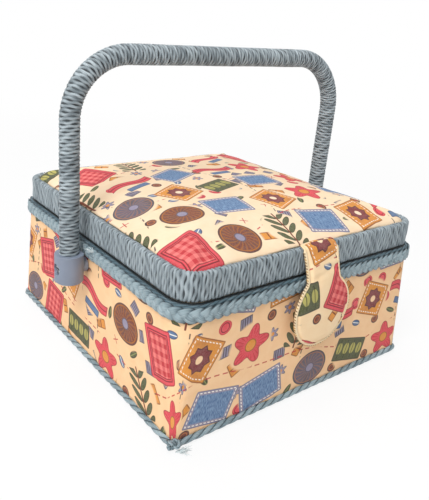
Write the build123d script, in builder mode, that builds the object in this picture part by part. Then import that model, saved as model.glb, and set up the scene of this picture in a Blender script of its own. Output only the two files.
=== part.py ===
"""Square fabric-covered sewing box with a padded lid, a wound bail handle and a lift-out tray.

Millimetres. Origin: centre of the underside, on the table. +Z up, the closing tab faces -Y,
the handle's pivot line runs along X.
"""
import math
import os

from build123d import *

# ---------------------------------------------------------------- driving sizes
# box body
box_width = 200.0          # outside, over the fabric
box_depth = 208.0
corner_radius = 17.0       # outer corners at the rim
base_corner = 4.0          # the walls draw in to these sharper corners at the base
rim_height = 82.4          # top of the wall board above the table
cover_t = 1.0              # printed fabric on the outside
wall_board_t = 3.5
lining_t = 1.5             # padded satin
bottom_cover_t = 1.0
floor_pad_t = 1.6
base_cord_d = 4.6          # cord laid round the lower edge
base_inset = 3.0           # the base board stands in by this much
braid_h = 8.0              # plaited trim below the rim
braid_t = 3.0
braid_drop = 0.6           # rim of the wall board above the trim's top edge, less this
braid_bevel = 1.0
rim_cap_t = 1.5            # lining turned over the rim

# lid
lid_inset = 2.0            # lid outline inside the body outline, each side
band_h = 16.8              # height of the overcast band
band_wrap_t = 1.5          # cord lapped round the hoop
hoop_t = 3.0
band_bevel = 1.8
lid_board_t = 3.0
lid_hollow = 8.6           # depth under the lid, from the band's lower edge to the lining
lid_lining_t = 1.2
cushion_crown = 12.0       # cushion's middle above the band's upper edge
cushion_edge = 0.4         # cushion's edge below the band's upper edge
pocket_w = 150.0
pocket_d = 84.0
pocket_t = 1.6
pocket_hem_d = 3.0

# closing tab
tab_neck_w = 27.0
tab_disc_d = 47.0
snap_drop = 12.8           # snap's centre below the plaited trim
tab_t = 4.0
tab_neck_t = 3.0
tab_neck_round = 3.5
tab_backing_t = 0.8
snap_d = 18.0
snap_plate_t = 1.8
snap_magnet_t = 2.0
snap_dimple_d = 7.0
snap_dimple = 0.5

# handle
handle_rise = 128.6        # bar's centre line above the pivots
handle_bend_r = 38.0
grip_d = 12.2
grip_sides = 16            # flats that stand for the winding's roundness
core_d = 7.0               # bared core at the ends, seated in the ferrules
pivot_drop = 2.05          # spacers' tops below the plaited trim
ferrule_d = 18.2
ferrule_h = 18.8
ferrule_flat = 7.6         # inner flat from the leg's centre line
ferrule_bevel = 0.8
grip_socket = 3.4          # depth of the wide socket
core_socket = 2.8          # further depth of the narrow socket
screw_d = 4.0
screw_head_d = 7.0
screw_head_t = 2.4
screw_recess = 4.2         # depth of the counterbore
screw_slot_w = 1.0
spacer_d = 9.5
spacer_t = 3.2
nut_d = 10.0
nut_t = 3.0

# tray
tray_h = 30.0
tray_t = 1.8
tray_lip = 3.0             # flange beyond the tray's walls
tray_top_gap = 6.0         # tray's rim below the lid lining's lower edge
tray_corner = 6.0
tray_floor_bevel = 2.0
tray_rib_drop = 4.0        # ribs lower than the rim
tray_front_share = 0.36    # depth of the long front bay
rest_t = 4.0               # card strips that carry the tray
rest_len = 150.0

# hinge
hinge_len = 150.0
hinge_tape_t = 0.8
hinge_tape_h = 8.0
hinge_tape_w = 2.4

# clearances
seat_gap = 0.1             # between seated pieces of one body
soft_gap = 0.3             # between soft faces that close on each other
run_gap = 0.15             # beside turning faces
shaft_gap = 0.05           # radial, round the pivot screws
tray_gap = 1.0             # round the tray

# ---------------------------------------------------------------- derived levels
base_board_t = base_cord_d + 2 * seat_gap * 2 - bottom_cover_t
wall_z = bottom_cover_t + base_board_t
inner_inset = cover_t + wall_board_t + lining_t
rim_top = rim_height + rim_cap_t
braid_top = rim_height + braid_drop
braid_z = braid_top - braid_h
band_z = rim_top + soft_gap
band_top = band_z + band_h
band_t = band_wrap_t + hoop_t
lid_lining_z = band_z + lid_hollow
lid_board_z = lid_lining_z + lid_lining_t
cushion_z = lid_board_z + lid_board_t
lid_front_y = -(box_depth / 2 - lid_inset)
skirt_z = band_z + soft_gap * 2
tray_top = skirt_z - tray_top_gap
tray_z = tray_top - tray_h
hinge_y = -lid_front_y + hinge_tape_t + soft_gap
hinge_z = rim_top + soft_gap / 2
wall_x = box_width / 2
wall_y = box_depth / 2
flat_x = wall_x + spacer_t + run_gap
handle_x = flat_x + ferrule_flat
pivot_z = braid_z - pivot_drop - spacer_d / 2
handle_top_z = pivot_z + handle_rise
tab_disc_z = braid_z - snap_drop
snap_y = -wall_y - snap_plate_t
tab_back_y = snap_y - soft_gap - snap_magnet_t - tab_backing_t
inside_x = wall_x - inner_inset
inside_y = wall_y - inner_inset


def outline(inset, extra=0.0):
    """Rounded rectangle parallel to the body's outline."""
    r = corner_radius - inset - extra
    RectangleRounded(box_width - 2 * inset, box_depth - 2 * inset, r)


def ring(z, height, outer, inner):
    """Upright wall between two insets of the body's outline."""
    with BuildPart() as wall:
        with BuildSketch(Plane.XY.offset(z)):
            outline(outer)
            with BuildSketch(mode=Mode.SUBTRACT):
                outline(inner)
        extrude(amount=height)
    return wall.part


def eased_outline(width, depth, corner, steps):
    """Rounded rectangle with each corner in short straight steps, so that lofts stay flat-sided."""
    a, b = width / 2 - corner, depth / 2 - corner
    points = []
    for quarter, (x, y) in enumerate(((a, b), (-a, b), (-a, -b), (a, -b))):
        for step in range(steps + 1):
            turn = math.radians(90 * (quarter + step / steps))
            points.append((x + corner * math.cos(turn), y + corner * math.sin(turn)))
    Polygon(*points, align=None)


def tapered(z, top, inset):
    """Block whose corners ease from the base's radius to the rim's."""
    with BuildPart() as block:
        for level, corner in ((z, base_corner), (top, corner_radius)):
            with BuildSketch(Plane.XY.offset(level)):
                eased_outline(box_width - 2 * inset, box_depth - 2 * inset, corner - inset, 8)
        loft(ruled=True)
    return block.part


def base_plate(z, height):
    """Level board with the base's sharper corners."""
    with BuildPart() as board:
        with BuildSketch(Plane.XY.offset(z)):
            base_w = box_width - 2 * base_inset
            RectangleRounded(base_w, box_depth - 2 * base_inset, base_corner - base_inset)
        extrude(amount=height)
    return board.part


def plate(z, height, inset):
    """Level board parallel to the body's outline."""
    with BuildPart() as board:
        with BuildSketch(Plane.XY.offset(z)):
            outline(inset)
        extrude(amount=height)
    return board.part


def pivot_bore(radius, x_from, x_to):
    """Rods along the pivot line, one on each side, for cutting the screw holes."""
    with BuildPart() as rods:
        for side in (-1, 1):
            with BuildSketch(Plane.YZ.offset(side * x_from)):
                with Locations((0, pivot_z)):
                    Circle(radius)
            extrude(amount=side * (x_to - x_from))
    return rods.part


def save(piece, name):
    piece.part.label = name
    export_step(piece.part, f"parts/{name}.step")


os.makedirs("parts", exist_ok=True)
screw_r = screw_d / 2
wall_bore = pivot_bore(screw_r + shaft_gap, inside_x - 1, wall_x + 1)

# ---------------------------------------------------------------- box body
with BuildPart() as bottom_cover:
    add(base_plate(0, bottom_cover_t))
save(bottom_cover, "bottom_cover")

with BuildPart() as base_board:
    add(base_plate(bottom_cover_t, base_board_t))
save(base_board, "base_board")

with BuildPart() as wall_board:
    add(tapered(wall_z, braid_z, cover_t))
    add(plate(wall_z, braid_z - wall_z, cover_t + wall_board_t), mode=Mode.SUBTRACT)
    add(ring(braid_z, rim_height - braid_z, cover_t, cover_t + wall_board_t))
    add(wall_bore, mode=Mode.SUBTRACT)
save(wall_board, "wall_board")

with BuildPart() as outer_cover:
    add(tapered(wall_z, braid_z, 0))
    add(tapered(wall_z, braid_z, cover_t), mode=Mode.SUBTRACT)
    add(wall_bore, mode=Mode.SUBTRACT)
save(outer_cover, "outer_cover")

with BuildPart() as base_cord:
    cord_in = base_inset - seat_gap - base_cord_d / 2
    cord_x = wall_x - cord_in
    cord_y = wall_y - cord_in
    cord_z = 2 * seat_gap + base_cord_d / 2
    with BuildLine(Plane.XY.offset(cord_z)) as cord_path:
        half = [(0, -cord_y), (cord_x, -cord_y), (cord_x, cord_y), (0, cord_y)]
        FilletPolyline(*half, radius=base_corner - cord_in)
    with BuildSketch(Plane.YZ):
        with Locations((-cord_y, cord_z)):
            RegularPolygon(base_cord_d / 2, 8)
    sweep(path=cord_path.wire())
    mirror(about=Plane.YZ)
save(base_cord, "base_cord")

with BuildPart() as rim_braid:
    add(ring(braid_z, braid_h, cover_t - braid_t, cover_t))
    rims = rim_braid.faces().filter_by(Axis.Z)
    outer_edges = [e for f in rims for e in f.outer_wire().edges()]
    chamfer(outer_edges, length=braid_bevel)
save(rim_braid, "rim_braid")

with BuildPart() as body_lining:
    lining_in = cover_t + wall_board_t
    add(ring(wall_z, rim_height - wall_z, lining_in, inner_inset))
    add(ring(rim_height, rim_cap_t, cover_t, inner_inset))
    cap = body_lining.faces().sort_by(Axis.Z)[-1]
    chamfer(cap.edges(), length=rim_cap_t * 0.4)
    add(wall_bore, mode=Mode.SUBTRACT)
save(body_lining, "body_lining")

with BuildPart() as floor_pad:
    add(plate(wall_z, floor_pad_t, inner_inset + seat_gap))
save(floor_pad, "floor_pad")

rest_z = wall_z + floor_pad_t
for side, name in ((-1, "tray_rest_left"), (1, "tray_rest_right")):
    with BuildPart() as tray_rest:
        with BuildSketch(Plane.XY.offset(rest_z)):
            with Locations((side * (inside_x - seat_gap - rest_t / 2), 0)):
                Rectangle(rest_t, rest_len)
        extrude(amount=tray_z - soft_gap - rest_z)
        bored = pivot_bore(nut_d / 2 + soft_gap, inside_x - rest_t - 1, inside_x + 1)
        add(bored, mode=Mode.SUBTRACT)
    save(tray_rest, name)

# pivot hardware, one set on each side
screw_seat_x = handle_x + ferrule_d / 2 - screw_recess
for side, word in ((-1, "left"), (1, "right")):
    with BuildPart() as spacer:
        with BuildSketch(Plane.YZ.offset(side * wall_x)):
            with Locations((0, pivot_z)):
                Circle(spacer_d / 2)
                Circle(screw_r + shaft_gap, mode=Mode.SUBTRACT)
        extrude(amount=side * spacer_t)
    save(spacer, f"spacer_{word}")

    with BuildPart() as screw:
        nut_end = inside_x - nut_t
        with BuildSketch(Plane.YZ.offset(side * nut_end)):
            with Locations((0, pivot_z)):
                Circle(screw_r)
        extrude(amount=side * (screw_seat_x + run_gap - nut_end))
        with BuildSketch(Plane.YZ.offset(side * (screw_seat_x + run_gap))):
            with Locations((0, pivot_z)):
                Circle(screw_head_d / 2)
        extrude(amount=side * screw_head_t)
        slot_x = screw_seat_x + run_gap + screw_head_t
        with BuildSketch(Plane.YZ.offset(side * slot_x)):
            with Locations((0, pivot_z)):
                Rectangle(screw_head_d + 1, screw_slot_w)
                Rectangle(screw_slot_w, screw_head_d + 1)
        extrude(amount=-side * screw_head_t * 0.4, mode=Mode.SUBTRACT)
    save(screw, f"pivot_screw_{word}")

    with BuildPart() as nut:
        with BuildSketch(Plane.YZ.offset(side * inside_x)):
            with Locations((0, pivot_z)):
                RegularPolygon(nut_d / 2, 6)
                Circle(screw_r + shaft_gap, mode=Mode.SUBTRACT)
        extrude(amount=-side * nut_t)
    save(nut, f"pivot_nut_{word}")

with BuildPart() as snap_plate:
    with BuildSketch(Plane.XZ.offset(wall_y)):
        with Locations((0, tab_disc_z)):
            Circle(snap_d / 2)
    extrude(amount=snap_plate_t)
    chamfer(snap_plate.faces().sort_by(Axis.Y)[0].edges(), length=snap_plate_t / 4)
    with BuildSketch(Plane.XZ.offset(-snap_y)):
        with Locations((0, tab_disc_z)):
            Circle(snap_dimple_d / 2)
    extrude(amount=-snap_dimple, mode=Mode.SUBTRACT)
save(snap_plate, "snap_plate")

with BuildPart() as hinge_tape_lower:
    tape_y = wall_y - cover_t + seat_gap
    with BuildSketch(Plane.XY.offset(braid_top + seat_gap / 2)):
        with Locations((0, tape_y + hinge_tape_w / 2)):
            Rectangle(hinge_len, hinge_tape_w)
    extrude(amount=hinge_tape_t)
save(hinge_tape_lower, "hinge_tape_lower")

# ---------------------------------------------------------------- lid
with BuildPart() as lid_binding:
    add(ring(band_z, band_h, lid_inset, lid_inset + band_t))
    rims = lid_binding.faces().filter_by(Axis.Z)
    outer_edges = [e for f in rims for e in f.outer_wire().edges()]
    chamfer(outer_edges, length=band_bevel)
    groove_h = band_h - 2 * band_wrap_t
    groove = ring(band_z + band_wrap_t, groove_h, lid_inset + band_wrap_t, lid_inset + band_t + 1)
    add(groove, mode=Mode.SUBTRACT)
save(lid_binding, "lid_binding")

with BuildPart() as lid_hoop:
    hoop_out = lid_inset + band_wrap_t + seat_gap
    hoop_z = band_z + band_wrap_t + seat_gap
    add(ring(hoop_z, groove_h - 2 * seat_gap, hoop_out, lid_inset + band_t))
save(lid_hoop, "lid_hoop")

lid_in = lid_inset + band_t + seat_gap
with BuildPart() as lid_board:
    add(plate(lid_board_z, lid_board_t, lid_in))
save(lid_board, "lid_board")

with BuildPart() as lid_lining:
    add(plate(lid_lining_z, lid_lining_t, lid_in))
    add(ring(skirt_z, lid_lining_z - skirt_z, lid_in, lid_in + lid_lining_t))
save(lid_lining, "lid_lining")

with BuildPart() as lid_pocket:
    with BuildSketch(Plane.XY.offset(lid_lining_z - seat_gap)):
        with Locations((0, pocket_d / 2)):
            RectangleRounded(pocket_w, pocket_d, 6)
    extrude(amount=-pocket_t)
save(lid_pocket, "lid_pocket")

with BuildPart() as pocket_hem:
    with BuildSketch(Plane.YZ.offset(-pocket_w / 2)):
        with Locations((-pocket_hem_d / 2 - seat_gap, lid_lining_z - seat_gap - pocket_hem_d / 2)):
            Circle(pocket_hem_d / 2)
    extrude(amount=pocket_w)
save(pocket_hem, "pocket_hem")

cushion_w = box_width - 2 * lid_in
cushion_d = box_depth - 2 * lid_in
cushion_edge_z = band_top - cushion_edge
cushion_over = cushion_crown + cushion_edge
with BuildPart() as lid_cushion:
    # level outlines of the crown: how far in from the edge, and the share of the rise there
    crown = [(0, 0), (2, 0.18), (7, 0.4), (17, 0.63), (36, 0.86), (64, 1.0)]
    with BuildSketch(Plane.XY.offset(cushion_z)):
        eased_outline(cushion_w, cushion_d, corner_radius - lid_in, 6)
    for drawn_in, share in crown:
        with BuildSketch(Plane.XY.offset(cushion_edge_z + cushion_over * share)):
            corner = max(corner_radius - lid_in - drawn_in * 0.25, lid_in)
            eased_outline(cushion_w - 2 * drawn_in, cushion_d - 2 * drawn_in, corner, 6)
    loft(ruled=True)
save(lid_cushion, "lid_cushion")

with BuildPart() as hinge_tape_upper:
    with BuildSketch(Plane.XZ.offset(lid_front_y - seat_gap)):
        with Locations((0, band_z + band_bevel + hinge_tape_h / 2)):
            Rectangle(hinge_len, hinge_tape_h)
    extrude(amount=-(hinge_tape_t - seat_gap))
save(hinge_tape_upper, "hinge_tape_upper")

# ---------------------------------------------------------------- closing tab
root_z = band_top + seat_gap
root_front = lid_front_y + band_bevel * 0.5
with BuildPart() as tab_root:
    with BuildSketch(Plane.YZ):
        with Locations(((root_front + lid_front_y + band_t) / 2, root_z + tab_neck_t / 2)):
            Rectangle(lid_front_y + band_t - root_front, tab_neck_t)
    extrude(amount=tab_neck_w / 2, both=True)
save(tab_root, "tab_root")

tab_top_y = root_front - soft_gap
tab_low = tab_disc_z - tab_disc_d / 2
knee_z = tab_disc_z + snap_d / 2 + 2
hip_z = braid_top + 1
hip_y = -wall_y - (braid_t - cover_t) - 2 * soft_gap
tab_line = [(tab_top_y, root_z + tab_neck_t), (tab_top_y, root_z),
            (lid_front_y - soft_gap, band_top - band_bevel), (hip_y, hip_z),
            (tab_back_y, knee_z), (tab_back_y, tab_low)]
with BuildPart() as closure_tab:
    with BuildSketch(Plane.YZ):
        with BuildLine():
            front = [(tab_back_y - tab_t, tab_low), (tab_back_y - tab_t, knee_z),
                     (hip_y - tab_neck_t - 0.4, hip_z),
                     (lid_front_y - soft_gap - tab_neck_t, band_top - band_bevel),
                     (tab_top_y - tab_neck_t * 0.8, root_z + tab_neck_t * 0.7)]
            Polyline(*tab_line, *front, close=True)
        make_face()
    extrude(amount=tab_disc_d, both=True)
    with BuildSketch(Plane.XZ):
        with Locations((0, tab_disc_z)):
            Circle(tab_disc_d / 2)
        with Locations((0, (tab_disc_z + root_z + tab_neck_t) / 2)):
            Rectangle(tab_neck_w, root_z + tab_neck_t - tab_disc_z)
        notch = vertices().filter_by_position(Axis.Y, tab_disc_z, tab_disc_z + tab_disc_d / 2)
        fillet(notch, radius=tab_neck_round)
    extrude(amount=box_depth, mode=Mode.INTERSECT)
save(closure_tab, "closure_tab")

with BuildPart() as tab_backing:
    with BuildSketch(Plane.XZ.offset(-tab_back_y)):
        with Locations((0, tab_disc_z)):
            Circle(snap_d / 2 + 1)
    extrude(amount=-tab_backing_t)
save(tab_backing, "tab_backing")

with BuildPart() as snap_magnet:
    with BuildSketch(Plane.XZ.offset(-snap_y + soft_gap)):
        with Locations((0, tab_disc_z)):
            Circle(snap_d / 2)
    extrude(amount=snap_magnet_t)
    chamfer(snap_magnet.faces().sort_by(Axis.Y)[-1].edges(), length=snap_magnet_t / 5)
save(snap_magnet, "snap_magnet")

# ---------------------------------------------------------------- handle
ferrule_top = pivot_z + ferrule_h / 2
grip_z = ferrule_top - grip_socket + seat_gap
core_z = ferrule_top - grip_socket - core_socket + seat_gap


with BuildPart() as handle_grip:
    with BuildLine(Plane.XZ) as arch:
        ends = [(-handle_x, grip_z), (-handle_x, handle_top_z)]
        ends += [(handle_x, handle_top_z), (handle_x, grip_z)]
        FilletPolyline(*ends, radius=handle_bend_r)
    with BuildSketch(Plane.XY.offset(grip_z)):
        with Locations((-handle_x, 0)):
            RegularPolygon(radius=grip_d / 2, side_count=grip_sides)
    sweep(path=arch.wire())
    # bared core below each end of the winding
    with BuildSketch(Plane.XY.offset(grip_z)):
        with Locations((-handle_x, 0), (handle_x, 0)):
            Circle(core_d / 2)
    extrude(amount=core_z - grip_z)
save(handle_grip, "handle_grip")

for side, word in ((-1, "left"), (1, "right")):
    with BuildPart() as ferrule:
        with BuildSketch(Plane.XY.offset(pivot_z - ferrule_h / 2)):
            with Locations((side * handle_x, 0)):
                Circle(ferrule_d / 2)
        extrude(amount=ferrule_h)
        chamfer(ferrule.faces().sort_by(Axis.Z)[0].edges(), length=ferrule_bevel)
        chamfer(ferrule.faces().sort_by(Axis.Z)[-1].edges(), length=ferrule_bevel / 3)
        with BuildSketch(Plane.XY.offset(ferrule_top)):
            with Locations((side * handle_x, 0)):
                Circle(grip_d / 2 + seat_gap)
        extrude(amount=-grip_socket, mode=Mode.SUBTRACT)
        with BuildSketch(Plane.XY.offset(ferrule_top - grip_socket)):
            with Locations((side * handle_x, 0)):
                Circle(core_d / 2 + seat_gap)
        extrude(amount=-core_socket, mode=Mode.SUBTRACT)
        # flat that bears on the spacer
        with BuildSketch(Plane.YZ.offset(side * flat_x)):
            with Locations((0, pivot_z)):
                Rectangle(ferrule_d + 1, ferrule_h + 1)
        extrude(amount=-side * ferrule_d, mode=Mode.SUBTRACT)
        # screw hole and its counterbore
        with BuildSketch(Plane.YZ.offset(side * (flat_x - 1))):
            with Locations((0, pivot_z)):
                Circle(screw_r + shaft_gap)
        extrude(amount=side * (ferrule_d + 2), mode=Mode.SUBTRACT)
        with BuildSketch(Plane.YZ.offset(side * screw_seat_x)):
            with Locations((0, pivot_z)):
                Circle(screw_head_d / 2 + 2 * run_gap)
        extrude(amount=side * (screw_recess + 1), mode=Mode.SUBTRACT)
    save(ferrule, f"ferrule_{word}")

# ---------------------------------------------------------------- lift-out tray
tray_in = inner_inset + tray_gap
tray_wall_in = tray_in + tray_lip
tray_w = box_width - 2 * tray_wall_in
tray_d = box_depth - 2 * tray_wall_in
with BuildPart() as tray:
    add(plate(tray_z, tray_h, tray_wall_in))
    chamfer(tray.faces().sort_by(Axis.Z)[0].edges(), length=tray_floor_bevel)
    add(plate(tray_top - tray_t, tray_t, tray_in))
    bay_w = tray_w - 2 * tray_t
    bay_d = tray_d - 2 * tray_t
    front_d = bay_d * tray_front_share
    back_d = (bay_d - front_d - 2 * tray_t) / 2
    half_w = (bay_w - tray_t) / 2
    front_y = -bay_d / 2 + front_d / 2
    bays = [(0, front_y, bay_w, front_d)]
    for row in range(2):
        y = -bay_d / 2 + front_d + tray_t + back_d / 2 + row * (back_d + tray_t)
        for col in (-1, 1):
            bays.append((col * (half_w + tray_t) / 2, y, half_w, back_d))
    for x, y, w, d in bays:
        with BuildSketch(Plane.XY.offset(tray_z + tray_t)):
            with Locations((x, y)):
                RectangleRounded(w, d, tray_corner)
        extrude(amount=tray_h, mode=Mode.SUBTRACT)
    # ribs between the bays stop below the rim
    with BuildSketch(Plane.XY.offset(tray_top - tray_rib_drop)):
        RectangleRounded(bay_w, bay_d, tray_corner)
    extrude(amount=tray_h, mode=Mode.SUBTRACT)
save(tray, "tray")
print("pivot", pivot_z, "handle", handle_x, handle_top_z, "disc", tab_disc_z)
print("bays", [[round(v, 2) for v in b] for b in bays], "floor", tray_z + tray_t, "top", tray_top)
print("hinge", hinge_y, hinge_z, "tab", tab_top_y, root_z, "band", band_z, band_top, "tray", tray_z)
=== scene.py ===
"""Looks of the square sewing box: printed cloth, wound paper cord, plaits, padded lid and tab."""
import random
from math import atan, atan2, cos, dist, exp, floor, hypot, pi, radians, sin, sqrt, tau

import bmesh
import bpy
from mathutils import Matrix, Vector, noise


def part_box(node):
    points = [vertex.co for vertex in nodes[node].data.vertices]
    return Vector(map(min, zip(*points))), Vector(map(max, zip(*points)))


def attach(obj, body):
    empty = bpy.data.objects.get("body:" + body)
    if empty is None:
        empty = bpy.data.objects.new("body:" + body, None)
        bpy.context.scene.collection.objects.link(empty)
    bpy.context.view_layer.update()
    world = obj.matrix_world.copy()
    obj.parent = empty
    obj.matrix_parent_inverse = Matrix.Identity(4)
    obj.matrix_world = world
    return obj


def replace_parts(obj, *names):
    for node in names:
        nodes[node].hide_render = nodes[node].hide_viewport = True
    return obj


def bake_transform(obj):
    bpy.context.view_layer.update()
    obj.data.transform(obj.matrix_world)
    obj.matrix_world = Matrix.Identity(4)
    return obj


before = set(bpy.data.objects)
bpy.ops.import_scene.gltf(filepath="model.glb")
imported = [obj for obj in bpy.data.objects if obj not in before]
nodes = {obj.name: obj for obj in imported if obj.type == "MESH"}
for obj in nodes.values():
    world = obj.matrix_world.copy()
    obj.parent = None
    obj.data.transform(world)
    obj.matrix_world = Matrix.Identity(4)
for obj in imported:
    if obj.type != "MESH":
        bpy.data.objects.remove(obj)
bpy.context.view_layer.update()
WELD = 2e-6  # points nearer than this, in metres, are one


# ---------------- rounded outlines and grids
class Outline:
    """A rounded rectangle walked anticlockwise from the middle of its +Y side."""

    def __init__(self, half_x, half_y, corner):
        self.hx, self.hy, self.r = half_x, half_y, corner
        a, b, q = half_x - corner, half_y - corner, corner * pi / 2
        self.runs = [a, q, 2 * b, q, 2 * a, q, 2 * b, q, a]
        self.length = sum(self.runs)

    def find(self, s):
        """The run that distance s falls in, and how far along it."""
        s %= self.length
        for i, run in enumerate(self.runs):
            if s <= run or i == 8:
                return i, s
            s -= run

    def at(self, s):
        """Point and outward normal at distance s round the outline."""
        i, s = self.find(s)
        a, b, side = self.hx - self.r, self.hy - self.r, i // 2
        if i % 2:
            x, y = ((-a, b), (-a, -b), (a, -b), (a, b))[side]
            t = s / self.r + side * pi / 2
            return x - self.r * sin(t), y + self.r * cos(t), -sin(t), cos(t)
        return ((-s, self.hy, 0, 1), (-self.hx, b - s, -1, 0), (s - a, -self.hy, 0, -1),
                (self.hx, s - b, 1, 0), (a - s, self.hy, 0, 1))[side]

    def inset(self, x, y):
        """Distance in from the outline, in metres."""
        ax, ay = abs(x) - (self.hx - self.r), abs(y) - (self.hy - self.r)
        if ax > 0 and ay > 0:
            return self.r - hypot(ax, ay)
        return min(self.hx - abs(x), self.hy - abs(y))

    def like(self, base, s):
        """The place here that matches distance s on another outline of the same kind."""
        i, s = base.find(s)
        return self.at(sum(self.runs[:i]) + self.runs[i] * min(1, s / base.runs[i]))


def rough(x, y=0.0, z=0.0):
    """Smooth repeatable unevenness from -1 to 1."""
    return noise.noise(Vector((x, y, z)))


def patch(along, across, place, uv=None):
    """A grid laid on a surface: place(u, v) gives the point, how much painted shade it takes as
    part of a slit between strands, and its tone, which can carry a painted highlight.
    """
    bm = bmesh.new()
    bmesh.ops.create_grid(bm, x_segments=along, y_segments=across, size=0.5)
    cloth = bm.loops.layers.uv.new("cloth")
    groove_shade = bm.verts.layers.float.new("groove_shade")
    tone = bm.verts.layers.float.new("tone")
    for face in bm.faces:
        for loop in face.loops:
            u, v = loop.vert.co.x + 0.5, loop.vert.co.y + 0.5
            loop[cloth].uv = uv(u, v) if uv else (u, v)
    for vert in bm.verts:
        vert.co, vert[groove_shade], vert[tone] = place(vert.co.x + 0.5, vert.co.y + 0.5)
    return bm


def close_up(bm, near=WELD, caps=None):
    """Merges doubled points, fills open ends of up to caps sides and turns the faces outwards."""
    bmesh.ops.remove_doubles(bm, verts=bm.verts, dist=near)
    if caps is not None:
        bmesh.ops.holes_fill(bm, edges=[e for e in bm.edges if e.is_boundary], sides=caps)
    bmesh.ops.recalc_face_normals(bm, faces=bm.faces)
    return bm


def joined(parts):
    """Several meshes in the making as one."""
    made = bmesh.new()
    for part in parts:
        held = bpy.data.meshes.new("part")
        part.to_mesh(held)
        part.free()
        made.from_mesh(held)
        bpy.data.meshes.remove(held)
    return made


def finish_mesh(bm, name):
    mesh = bpy.data.meshes.new(name)
    for face in bm.faces:
        face.smooth = True
    bm.to_mesh(mesh)
    bm.free()
    piece = bpy.data.objects.new(name, mesh)
    bpy.context.scene.collection.objects.link(piece)
    return piece


def skin(name, along, across, place, uv=None, closed=True):
    """A patch as a piece of its own."""
    bm = patch(along, across, place, uv)
    if closed:
        close_up(bm)
    else:
        bmesh.ops.remove_doubles(bm, verts=bm.verts, dist=WELD)
    return finish_mesh(bm, name)


def dress(piece, material):
    piece.data.materials.clear()
    piece.data.materials.append(material)
    return piece


def stand_in(piece, body, node):
    """Puts a piece on its body, in place of the CAD node there."""
    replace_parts(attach(piece, body), node)


def thicken(piece, thickness, offset):
    """Gives a cloth its thickness: offset -1 is inwards, 0 is half to each side."""
    wall = piece.modifiers.new("thickness", "SOLIDIFY")
    wall.thickness, wall.offset = thickness, offset


def ring(angle, r, out, up):
    """From a cord's middle to its surface, at an angle from its outward direction."""
    return out * (cos(angle) * r) + up * (sin(angle) * r)


def span(points):
    """Length of a run of points."""
    return sum(dist(a, b) for a, b in zip(points, points[1:]))


def walk(points, left):
    """The place at a distance along a run of points, and the direction there."""
    for a, b in zip(points, points[1:]):
        run = dist(a, b)
        if left <= run or b is points[-1]:
            ahead = [(q - p) / run for p, q in zip(a, b)]
            return [p + way * left for p, way in zip(a, ahead)], ahead
        left -= run


def between(spots, where):
    """A place on a list of spots, at a whole number and a share of the way to the next."""
    i = min(int(where), len(spots) - 2)
    t = where - i
    return [a * (1 - t) + b * t for a, b in zip(spots[i], spots[i + 1])]


# ---------------- shader maths
def maths(kind):
    """A Math node as a function of one value or more."""
    return lambda first, *rest: first.net.math(kind, first, *rest)


class Value:
    """A socket that adds Math nodes when it is used in an expression."""

    def __init__(self, net, socket):
        self.net, self.socket = net, socket

    __add__ = __radd__ = maths("ADD")
    __mul__ = __rmul__ = maths("MULTIPLY")
    __sub__, __truediv__, __pow__ = maths("SUBTRACT"), maths("DIVIDE"), maths("POWER")
    __gt__, __lt__, __abs__ = maths("GREATER_THAN"), maths("LESS_THAN"), maths("ABSOLUTE")

    def __rsub__(self, other):
        return self.net.math("SUBTRACT", other, self)


least, most, fract, whole = maths("MINIMUM"), maths("MAXIMUM"), maths("FRACT"), maths("FLOOR")
sine, cosine, root, bearing = maths("SINE"), maths("COSINE"), maths("SQRT"), maths("ARCTAN2")


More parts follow.
